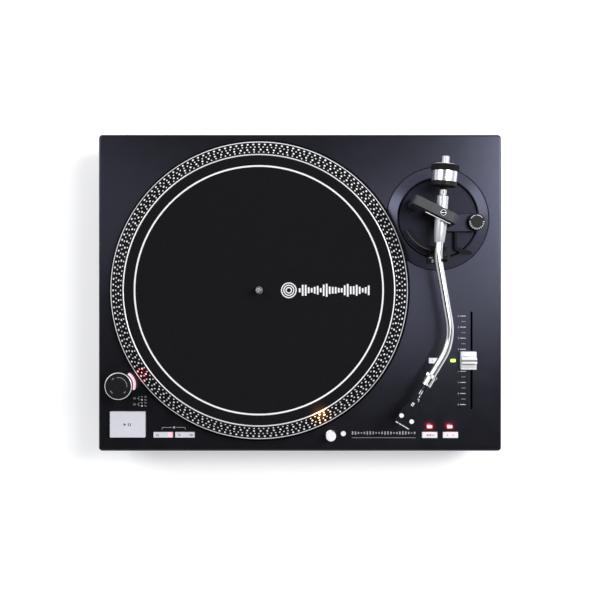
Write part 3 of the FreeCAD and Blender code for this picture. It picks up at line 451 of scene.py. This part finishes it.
def platter_rings():
    """The bright machined line round the bevel's foot, and the lip round its top."""
    at = Matrix.Translation((SPINDLE.x, SPINDLE.y, 0))
    edge = [(164.0, bevel_height(164) - 0.2), (164.05, bevel_height(164) + 0.1),
            (164.85, bevel_height(164.9) + 0.1), (165.0, bevel_height(165) - 0.3)]
    lip_top = high("platter").z / MM
    lip = [(148.65, lip_top - 0.9), (148.6, lip_top - 0.5), (148.9, lip_top), (149.4, lip_top + 0.15),
           (149.9, lip_top + 0.1), (150.3, lip_top - 0.1), (150.4, lip_top - 0.9)]
    build("platter_edge_line", spin(edge, 256, at), MACHINED, "platter", 50)
    build("platter_lip_line", spin(lip, 256, at), MACHINED, "platter", 50)


def slipmat():
    """The felt mat with soft edges, its printed ring, and its printed rings and row of bars."""
    at = Matrix.Translation((SPINDLE.x, SPINDLE.y, 0))
    under, top, out = low("slipmat").z / MM, MAT_TOP / MM, MAT_RADIUS / MM
    hole = 4.3
    profile = [(hole, under)] + [(hole + (out - 1 - hole) * step / 30, top) for step in range(31)]
    profile += [(out - 0.3, top - 0.25), (out, top - 0.9), (out, under + 0.3), (out - 0.3, under)]
    piece = build("felt_slipmat", spin(profile, 256, at), FELT, "slipmat", 50)
    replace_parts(piece, "slipmat")
    ring = [(135.8, top - 0.1), (135.8, top + 0.06), (137.6, top + 0.06), (137.6, top - 0.1)]
    build("slipmat_ring_print", spin(ring, 256, at), PRINT_WHITE, "slipmat", 50)
    centre = Matrix.Translation((SPINDLE.x + 33 * MM, SPINDLE.y, 0))
    parts = [spin([(radius, top - 0.1), (radius, top + 0.06), (radius + 1.2, top + 0.06),
                   (radius + 1.2, top - 0.1)], 64, centre) for radius in (2.4, 4.9, 7.4)]
    for step in range(24):
        x = 11 + step * 3.3
        half = 2.2 + 5.2 * abs(math.sin(step * 0.9)) * abs(math.cos(step * 0.37))
        parts.append(bar(x, x + 1.9, -half, half, MAT_TOP - PRINT, MAT_TOP + PRINT, centre))
    build("slipmat_bars_print", join(*parts), PRINT_WHITE, "slipmat", 50)


# ---------------------------------------------------------------- deck print, keys and lamps

def deck_print():
    """Legends on the deck: the strobe legend, the speed bracket, the pitch scale and a row of bars; also
    painted shadow rings round the platter and the arm base.
    """
    z0, z1 = DECK - PRINT, DECK + PRINT
    white, grey = [], []
    dots = ((-116, 0.5, "33"), (-119.4, 0.85, "45"), (-122.8, 0.5, "33"), (-126.2, 0.85, "45"))
    for y, size, number in dots:
        white.append(dot(-176.6, y, size, z0, z1))
        grey.append(numerals(number, -172.8, y, 1.7, z0, z1))
    for y, number in ((-117.7, "50"), (-124.5, "60")):
        grey.append(bar(-180.6, -180.2, y - 1.9, y + 1.9, z0, z1))
        grey += [bar(-180.6, -178.4, y + side * 1.7 - 0.2, y + side * 1.7 + 0.2, z0, z1) for side in (-1, 1)]
        grey.append(bar(-182.2, -180.4, y - 0.2, y + 0.2, z0, z1))
        grey.append(numerals(number, -185, y, 2, z0, z1))
    left, right, level = -154.3, -127.9, -150.2
    grey += [bar(left, -143.2, level - 0.25, level + 0.25, z0, z1),
             bar(-138.2, right, level - 0.25, level + 0.25, z0, z1)]
    grey += [bar(x, x + 0.5, level - 2.2, level + 0.25, z0, z1) for x in (left, right - 0.5)]
    cap = middle("pitch_fader_cap")
    for step in range(-4, 5):
        if step:
            y = cap.y / MM + step * PITCH_STEP
            white.append(bar(178.9, 185.2, y - 0.28, y + 0.28, z0, z1))
            grey.append(numerals(str(abs(step) * 2), 177, y, 2, z0, z1))
        if step < 4 and step not in (-1, 0):
            y = cap.y / MM + (step + 0.5) * PITCH_STEP
            grey.append(bar(180.4, 184.9, y - 0.25, y + 0.25, z0, z1))
    for side in (-0.5, 0.5):
        y = cap.y / MM + side * PITCH_STEP
        grey.append(bar(180.4, 184.9, y - 0.25, y + 0.25, z0, z1))
    for step in range(22):
        x = 58 + step * 3.3
        tall = 1.2 + 2.6 * abs(math.cos(step * 0.55))
        grey.append(bar(x, x + 1.5, -156.4 - tall / 2, -156.4 + tall / 2, z0, z1))
    grey.append(bar(58, 129, -161.9, -161.5, z0, z1))
    # Painted shadow: black rings on the deck round the platter's foot and round the arm base's height ring.
    painted_shadow_rings = [arc(165.2, 168.1, 0, 360, z0, z1, Matrix.Translation((SPINDLE.x, SPINDLE.y, 0)), 180),
            arc(57.05, 57.9, 0, 360, z0, z1 - 0.02 * MM, RING_PLACE, 120)]
    build("deck_painted_shadow_rings", join(*painted_shadow_rings), PAINTED_SHADOW_BLACK, "root", 50)
    build("deck_print_white", join(*white), PRINT_WHITE, "root", 50)
    build("deck_print_grey", join(*grey), PRINT_GREY, "root", 50)
    led = Vector((-140.7 * MM, level * MM, 0))
    deck = DECK / MM
    lens = spin([(0, deck - 0.3), (1.3, deck - 0.3), (1.3, deck + 0.2), (0.9, deck + 0.5), (0, deck + 0.6)],
                24, Matrix.Translation(led))
    build("speed_lamp", lens, PRINT_GREY, "root", 50)


def key_print():
    """Numerals and signs on the keys; a triangle and bars on the start and stop key."""
    spots = {}
    for name in ("start_stop_button", "speed_33_button", "speed_45_button", "reverse_button",
                 "pitch_range_button", "quartz_lock_button"):
        spots[name] = (Matrix.Translation((middle(name).x, middle(name).y, high(name).z)), -PRINT, PRINT)
    at, z0, z1 = spots["start_stop_button"]
    signs = [plate([(-4.4, -1.7), (-4.4, 1.7), (-1.4, 0)], z0, z1, at), bar(0.6, 1.5, -1.7, 1.7, z0, z1, at),
             bar(2.7, 3.6, -1.7, 1.7, z0, z1, at)]
    build("start_stop_signs", join(*signs), PRINT_DARK, "start_stop_button", 50)
    at, z0, z1 = spots["speed_33_button"]
    build("speed_33_numerals", numerals("33", -6.6, -0.2, 2.3, z0, z1, at), PRINT_DARK, "speed_33_button",
          50)
    lit = bar(5, 10.3, -2.8, 2.8, z0, z1, at)
    build("speed_33_lit_end", lit, PINK_LIT, "speed_33_button", 50)
    build("speed_33_lit_edge", bar(10.05, 10.6, -3, 3, z0, z1 + 0.05 * MM, at), EDGE_LIT, "speed_33_button",
          50)
    at, z0, z1 = spots["speed_45_button"]
    build("speed_45_numerals", join(numerals("45", -6.3, -0.2, 2.3, z0, z1, at),
                                    bar(5.4, 9, -0.7, 0.5, z0, z1, at)), PRINT_DARK,
          "speed_45_button", 50)
    at, z0, z1 = spots["reverse_button"]
    build("reverse_sign", join(plate([(-4, 0), (-1.6, 1.3), (-1.6, -1.3)], z0, z1, at),
                               plate([(-1.2, 0), (1.2, 1.3), (1.2, -1.3)], z0, z1, at),
                               bar(2, 5, -0.35, 0.35, z0, z1, at)), PRINT_DARK, "reverse_button",
          50)
    at, z0, z1 = spots["pitch_range_button"]
    build("pitch_range_numerals", numerals("8", -3.4, 0, 2, z0, z1, at), PRINT_GREY, "pitch_range_button",
          50)
    build("pitch_range_numerals_wide", numerals("16", 2.6, 0, 2, z0, z1, at), PRINT_GREY,
          "pitch_range_button", 50)
    at, z0, z1 = spots["quartz_lock_button"]
    build("quartz_lock_sign", numerals("0", -4.4, 0, 2, z0, z1, at), PRINT_GREY, "quartz_lock_button",
          50)


def led_lenses():
    """Two red lenses over the front keys and a green one beside the fader, in dark frames."""
    z0, z1 = low("indicator_lenses").z, high("indicator_lenses").z
    lens = (LENS_WIDE, LENS_DEEP, z0, z1 - 0.01 * MM)
    for name, key, shift in RED_LENSES:
        at = Matrix.Translation(red_lens_place(key, shift))
        build("red_lens_" + name, cushion(*lens, at, 0.8, 0.3), RED_LIT, "root", 50)
    green = Matrix.Translation(green_lens_place())
    piece = build("green_lens_lock", cushion(*lens, green, 0.8, 0.3), GREEN_LIT, "root", 50)
    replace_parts(piece, "indicator_lenses")


def fader_cap():
    """The pitch fader's cap: a grooved block with two raised ribs across its middle."""
    corner, top = low("pitch_fader_cap"), high("pitch_fader_cap").z
    centre = middle("pitch_fader_cap")
    at = Matrix.Translation((centre.x, centre.y, 0))
    wide = (high("pitch_fader_cap").x - corner.x) / MM
    deep = (high("pitch_fader_cap").y - corner.y) / MM
    body = cushion(wide, deep, DECK + 1.2 * MM, top - 5 * MM, at, 0.6, 0.6)
    stem = bar(3.8, 5.6, -3, 3, corner.z, DECK + 1.3 * MM, at)
    ribs = [moved(cushion(wide - 0.2, 2.5, top - 5.1 * MM, top - drop * MM, Matrix.Identity(4), 0.5, 0.5),
                  at @ Matrix.Translation((0, y * MM, 0))) for y, drop in ((2.0, 0.02), (-2.0, 0.0))]
    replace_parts(build("fader_cap_body", join(body, stem, *ribs), BRIGHT, "pitch_fader_cap", 40),
                "pitch_fader_cap")
    face = top - 5 * MM
    grooves = [bar(-wide / 2 + 0.5, wide / 2 - 0.5, y - 0.3, y + 0.3, face - PRINT, face + PRINT, at)
               for y in (4.4, -4.4)]
    grooves.append(bar(-wide / 2 + 0.3, wide / 2 - 0.3, -0.7, 0.7, face - PRINT, top - 2 * MM, at))
    grooves.append(bar(-wide / 2 + 0.5, wide / 2 - 0.5, -7.0, -6.7, face - PRINT, face + PRINT, at))
    build("fader_cap_grooves", join(*grooves), PRINT_DARK, "pitch_fader_cap", 40)


def tower_marks():
    """The power knob's bright rim, its arc and ticks."""
    knob_top = high("power_knob").z
    at = Matrix.Translation((middle("power_knob").x, middle("power_knob").y, 0))
    level = knob_top / MM
    rim = [(13.65, level - 1.2), (13.65, level - 0.15), (13.9, level), (14.5, level - 0.02),
           (14.88, level - 0.5), (14.88, level - 1.2)]
    build("power_knob_rim", spin(rim, 128, at), MACHINED, "power_knob", 50)
    face = knob_top - 0.4 * MM
    marks = [arc(9.3, 9.75, -5, 100, face - PRINT, face + PRINT, at)]
    for angle, length in ((128, 3.4), (222, 4.4), (318, 3.2)):
        for offset in range(int(length / 0.9)):
            here = at @ Matrix.Rotation(math.radians(angle), 4, "Z")
            y = (offset - int(length / 0.9) / 2) * 0.95
            marks.append(bar(9.3, 10.4, y, y + 0.5, face - PRINT, face + PRINT, here))
    build("power_knob_marks", join(*marks), PRINT_GREY, "power_knob", 50)


# ---------------------------------------------------------------- tonearm

def meeting(start, heading, other, other_heading):
    """Where two level lines cross."""
    gap = other - start
    cross = heading.x * other_heading.y - heading.y * other_heading.x
    return start + heading * ((gap.x * other_heading.y - gap.y * other_heading.x) / cross)


def tube_route():
    """The tube's centre line: three straight runs and two arcs."""
    run = Vector((STRAIGHT[0] * MM, STRAIGHT[1] * MM, PIVOT.z))
    turn = math.radians(STRAIGHT_TURN)
    run_axis = Vector((math.sin(turn), -math.cos(turn), 0))
    head = joint_place("collar_turn")
    corners = [meeting(PIVOT, REAR_AXIS, run, run_axis), meeting(run, run_axis, head, HEAD_AXIS)]
    ends = [PIVOT + REAR_AXIS * 30 * MM] + corners + [head - HEAD_AXIS * 2.2 * MM]
    radius, steps = BEND_RADIUS * MM, 20
    route = [ends[0]]
    for index in (1, 2):
        corner = ends[index]
        before = (ends[index - 1] - corner).normalized()
        after = (ends[index + 1] - corner).normalized()
        half = before.angle(after) / 2
        into = corner + before * (radius / math.tan(half))
        out = corner + after * (radius / math.tan(half))
        centre = corner + (before + after).normalized() * (radius / math.sin(half))
        one, two = into - centre, out - centre
        sweep = one.angle(two)
        way = 1 if one.cross(two).z > 0 else -1
        for step in range(steps + 1):
            turned = Matrix.Rotation(way * sweep * step / steps, 3, "Z") @ one
            route.append(centre + turned)
    route.append(ends[3])
    return route


def sweep_round(route, radius, sides=48):
    """A round tube along a level route."""
    verts, faces = [], []
    for index, point in enumerate(route):
        ahead = route[min(index + 1, len(route) - 1)] - route[max(index - 1, 0)]
        side = Vector((ahead.y, -ahead.x, 0)).normalized()
        for step in range(sides):
            angle = 2 * math.pi * step / sides
            verts.append(point + side * radius * math.cos(angle) + Vector((0, 0, radius * math.sin(angle))))
    for row in range(len(route) - 1):
        for step in range(sides):
            a, b = row * sides + step, row * sides + (step + 1) % sides
            faces.append([a, b, b + sides, a + sides])
    faces += [list(range(sides)), list(range(len(verts) - sides, len(verts)))[::-1]]
    return verts, faces


def tonearm():
    """The S tube, the pivot housing, the rear shaft, the counterweight and the headshell's collar."""
    radius = (high("arm_tube").z - low("arm_tube").z) / 2
    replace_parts(build("s_tube", sweep_round(tube_route(), radius), CHROME, "tonearm", 50),
                "arm_tube")
    shell = [(0, -19), (5.7, -19), (6.05, -18.5), (6.1, -16), (6.1, -4), (6.25, 0), (6.5, 5), (6.65, 10),
             (6.6, 15), (6.35, 20), (6.0, 24.5), (5.6, 28.5), (5.4, 29.8), (5.2, 30), (5.4, 30.3),
             (5.35, 31), (5, 31.2), (0, 31.2)]
    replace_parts(build("pivot_sleeve", spin(shell, 96, REAR), PEARL, "tonearm", 30),
                "arm_pivot_housing")
    stub = [(0, -25.8), (3.5, -25.8), (3.8, -25.5), (3.8, -20.4), (3.4, -20), (3.4, -18.5), (0, -18.5)]
    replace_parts(build("rear_stub", spin(stub, 64, REAR), PEARL, "tonearm", 30), "rear_shaft")
    sleeve = [(0, -54), (3.9, -54), (3.9, -25.7), (0, -25.7)]
    build("rear_shaft_sleeve", spin(sleeve, 48, REAR), MATT_BLACK, "tonearm", 30)
    end = [(0, -62), (3.2, -62), (3.85, -61.4), (3.95, -60.8), (3.95, -53.9), (0, -53.9)]
    build("rear_shaft_end", spin(end, 64, REAR), PEARL, "tonearm", 30)
    weight = [(4.1, -46), (13.7, -46), (13.7, -34.7), (13.3, -34.2), (4.1, -34.2)]
    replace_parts(build("counterweight_barrel", spin(weight, 128, REAR), TURNED, "counterweight", 30),
                "counterweight")
    band = [(4.1, -52.8), (14, -52.8), (15.2, -51.8), (15.2, -46.6), (14.4, -45.8), (4.1, -45.8)]
    build("counterweight_grip", spin(band, 360, REAR, knurl(72, 0.45, (-51.9, -46.5))), MATT_BLACK,
          "counterweight", 25)
    rear = [(4.1, -53.2), (13, -53.2), (13.7, -52.75), (4.1, -52.75)]
    build("counterweight_face", spin(rear, 128, REAR), SATIN_CHROME, "counterweight", 30)
    collar = [(4.45, -13.2), (6.2, -13.2), (6.4, -13), (6.4, -10), (5.8, -9.6), (5.6, -9.4), (5.6, -1.6),
              (5.85, -1.2), (5.9, -0.2), (5.6, 0), (4.2, 0), (4.2, -2), (4.45, -2)]
    grip = spin(collar, 240, HEAD_TURNED @ Matrix.Rotation(math.pi, 4, "X"), knurl(40, 0.35, (-13.1, -9.9)))
    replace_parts(build("headshell_collar", grip, CHROME, "locking_collar", 25), "locking_collar")
    top = high("gimbal_bridge").z / MM
    screw = [(0, top - 1.55), (3.35, top - 1.55), (3.35, top - 0.5), (2.7, top), (0, top)]
    at = Matrix.Translation((PIVOT.x, PIVOT.y, 0))
    build("pivot_screw_cap", spin(screw, 48, at), SATIN_CHROME, "arm_base", 30)
    slot = at @ Matrix.Rotation(math.radians(35), 4, "Z")
    build("pivot_screw_slot", join(bar(-2, 2, -0.2, 0.2, (top - 0.1) * MM, top * MM, slot),
                                   bar(-0.2, 0.2, -2, 2, (top - 0.1) * MM, (top - 0.005) * MM, slot)),
          PRINT_GREY, "arm_base", 30)
    holes = []
    for level, rise in ((58.5, 3.9), (22.8, 3.8)):
        centre = PIVOT - REAR_AXIS * level * MM
        mark = flat_frame(Vector((centre.x, centre.y, PIVOT.z + rise * MM)), REAR_AXIS)
        holes.append(bar(-0.5, 0.5, -1.3, 1.1, -0.25 * MM, 0.03 * MM, mark))
    build("rear_shaft_marks", join(*holes), PRINT_DARK, "tonearm", 30)


def headshell_marks():
    """Plain printed strokes on the headshell and the dashes on its front edge."""
    z0, z1 = HEAD_TOP - PRINT, HEAD_TOP + PRINT
    marks = [bar(-2.4, -1.6, -11.6, -4.6, z0, z1, HEAD), bar(-0.4, 0.4, -11.6, -4.6, z0, z1, HEAD),
             bar(-0.5, 0.5, -15, -13, z0, z1, HEAD), bar(-0.6, 1.8, -17.4, -16.7, z0, z1, HEAD),
             bar(1.2, 1.8, -19.6, -16.7, z0, z1, HEAD), bar(-3.2, -0.4, -23.6, -22.9, z0, z1, HEAD),
             bar(-3.2, -2.4, -26.8, -23.6, z0, z1, HEAD), bar(-1.6, -0.8, -26.8, -23.6, z0, z1, HEAD)]
    for start, end in ((-8.2, -5), (-3.9, -1.2), (-0.4, 2.6), (3.2, 8)):
        marks.append(bar(start, end, -50.3, -49.4, z0, z1, HEAD))
    build("headshell_print", join(*marks), PRINT_WHITE, "tonearm", 50)


def arm_base_marks():
    """Ticks on the anti-skate knob, and painted highlights: pale edges on the arm rest, a lighter arc on the
    lift platform and a bright line on the gimbal's front.
    """
    knob = Matrix.Translation((joint_place("anti_skate_turn").x, joint_place("anti_skate_turn").y, 0))
    face = high("anti_skate_knob").z
    marks = [arc(7.2, 7.75, 38, 92, face - PRINT, face + PRINT, knob),
             arc(7.2, 7.75, 102, 150, face - PRINT, face + PRINT, knob)]
    for step in range(11):
        here = knob @ Matrix.Rotation(math.radians(180 + step * 18), 4, "Z")
        marks.append(bar(6.7, 8.3, -0.4, 0.4, face - PRINT, face + PRINT, here))
    build("anti_skate_marks", join(*marks), PRINT_WHITE, "anti_skate_knob", 50)
    # Painted highlights: pale grey strips along the arm rest's top edges.
    top = REST_TOP
    edges = [bar(139.6, 143.6, 37.6, 38.8, top - PRINT, top + PRINT),
             bar(142.4, 144.6, 32.6, 36.6, top - PRINT, top + PRINT)]
    build("arm_rest_painted_highlights", join(*edges), PRINT_GREY, "arm_base", 50)
    # Painted highlight: a lighter arc along the lift platform's outer edge.
    platform = Matrix.Translation((PIVOT.x, PIVOT.y, 0))
    top = high("lift_platform").z
    build("lift_edge_painted_highlight", arc(39.9, 40.4, -155, -106, top - PRINT, top + PRINT, platform), PAINTED_EDGE_HIGHLIGHT,
          "lift_platform", 50)
    # Painted highlight: a bright strip along the front edge of the gimbal.
    lip = yawed(Vector((PIVOT.x, PIVOT.y, 0)), -26)
    front = bar(-17, 12, -7.35, -6.6, 0.1395, 0.1406, lip)
    build("gimbal_front_painted_highlight", front, BRIGHT, "gimbal", 50)


strobe_dots()
platter_rings()
slipmat()
deck_print()
key_print()
led_lenses()
fader_cap()
tower_marks()
tonearm()
headshell_marks()
arm_base_marks()


# ---------------------------------------------------------------- stage, light and camera

def aimed(place, target):
    """Turns a lamp at place so that it shines at target."""
    way = (Vector(target) - Vector(place)).normalized()
    return Matrix.Translation(place) @ way.to_track_quat("-Z", "Y").to_matrix().to_4x4()


def add_lamp(name, kind, place, target, power, colour=(1, 1, 1), **settings):
    lamp = bpy.data.lights.new(name, kind)
    lamp.energy = power
    lamp.color = colour
    for key, value in settings.items():
        setattr(lamp, key, value)
    holder = bpy.data.objects.new(name, lamp)
    bpy.context.scene.collection.objects.link(holder)
    holder.matrix_world = aimed(place, target)


def softbox(name, place, target, width, height, power, colour=(1, 1, 1)):
    add_lamp(name, "AREA", place, target, power, colour, shape="RECTANGLE", size=width, size_y=height)


def glow(name, place, target, power, colour, size=0.002, cone=110):
    add_lamp(name, "SPOT", place, target, power, colour, shadow_soft_size=size, spot_size=math.radians(cone),
             spot_blend=0.8)


def make_world():
    """Bright low down and dark overhead, like a light tent with an open top."""
    world = bpy.data.worlds.new("studio")
    bpy.context.scene.world = world
    world.use_nodes = True
    tree = world.node_tree
    back = tree.nodes["Background"]
    place = tree.nodes.new("ShaderNodeTexCoord")
    split = tree.nodes.new("ShaderNodeSeparateXYZ")
    tree.links.new(place.outputs["Generated"], split.inputs["Vector"])
    ramp = tree.nodes.new("ShaderNodeValToRGB")
    stops = ramp.color_ramp.elements
    stops[0].position = 0.45
    stops[0].color = (0.72, 0.73, 0.77, 1)
    stops[1].position = 0.86
    stops[1].color = (0.01, 0.01, 0.012, 1)
    tree.links.new(split.outputs["Z"], ramp.inputs["Fac"])
    tree.links.new(ramp.outputs["Color"], back.inputs["Color"])
    lean = tree.nodes.new("ShaderNodeMapRange")
    lean.inputs["From Min"].default_value = -0.7
    lean.inputs["From Max"].default_value = 0.9
    lean.inputs["To Min"].default_value = 0.7
    lean.inputs["To Max"].default_value = 1.35
    tree.links.new(split.outputs["Y"], lean.inputs["Value"])
    tree.links.new(lean.outputs["Result"], back.inputs["Strength"])


def make_stage():
    side = 6.0
    mesh = bpy.data.meshes.new("floor")
    corners = [(-side, -side, 0), (side, -side, 0), (side, side, 0), (-side, side, 0)]
    mesh.from_pydata(corners, [], [(0, 1, 2, 3)])
    floor = bpy.data.objects.new("floor", mesh)
    bpy.context.scene.collection.objects.link(floor)
    paper = material("floor_paper", (0.93, 0.93, 0.93), rough=0.7, vary=0.01, grain=20)
    shader = paper.node_tree.nodes["Principled BSDF"]
    shader.inputs["Emission Color"].default_value = (1, 1, 1, 1)
    shader.inputs["Emission Strength"].default_value = 0.33
    mesh.materials.append(paper)


def make_camera():
    """Straight above, with the deck's middle a little over the frame's."""
    camera = bpy.data.cameras.new("camera")
    camera.sensor_width = 36
    height = 1.2
    frame_width = 0.6705
    lift = 7.8225 * MM
    camera.lens = camera.sensor_width * height / frame_width
    camera.shift_y = -lift / frame_width
    holder = bpy.data.objects.new("camera", camera)
    bpy.context.scene.collection.objects.link(holder)
    holder.location = (0, 0, DECK + height)
    bpy.context.scene.camera = holder


make_world()
make_stage()
make_camera()
softbox("key", (1.15, 0.45, 2.0), (0.14, 0.06, 0.08), 0.6, 1.1, 26)
softbox("sheen_right", (0.7, 0.14, 2.1), (0.22, 0.06, 0.08), 0.5, 1.4, 5.6)
softbox("sheen_left", (-0.7, 0.3, 2.1), (-0.22, 0.09, 0.08), 0.4, 1.25, 1.5)
softbox("side", (1.6, 0.7, 1.3), (0.1, 0, 0.08), 1.0, 1.2, 9)
softbox("fill", (-1.4, 0.75, 1.7), (-0.1, 0, 0.08), 1.0, 1.2, 14)
# the spots of light on the platter's bevel, under the lamp and beside the strobe tower
BEVEL_LEVEL = 97 * MM
patch = Vector((SPINDLE.x + 67.5 * MM, SPINDLE.y - 135.5 * MM, BEVEL_LEVEL))
above = patch + Vector((6, -7, 17)) * MM
glow("lamp_beam", above, patch, 0.14, (1.0, 0.42, 0.1), 0.004, 78)
glow("lamp_core", above, patch, 0.35, (1.0, 0.58, 0.22), 0.002, 30)
patch = Vector((SPINDLE.x - 128.8 * MM, SPINDLE.y - 92.3 * MM, BEVEL_LEVEL))
glow("strobe_beam", patch + Vector((-4, -2, 18)) * MM, patch, 0.06, (1.0, 0.05, 0.08), 0.002, 52)
for name, key, shift in RED_LENSES:
    spot = red_lens_place(key, shift, DECK + 9 * MM)
    glow("red_glow_" + name, spot, spot - Vector((0, 0, 1)), 0.02, (1.0, 0.06, 0.1), 0.002, 100)
spot = green_lens_place(DECK + 5 * MM)
glow("green_glow", spot, spot - Vector((0, 0, 1)), 0.005, (0.5, 1.0, 0.1), 0.001, 120)
bpy.context.scene.view_settings.view_transform = "Standard"
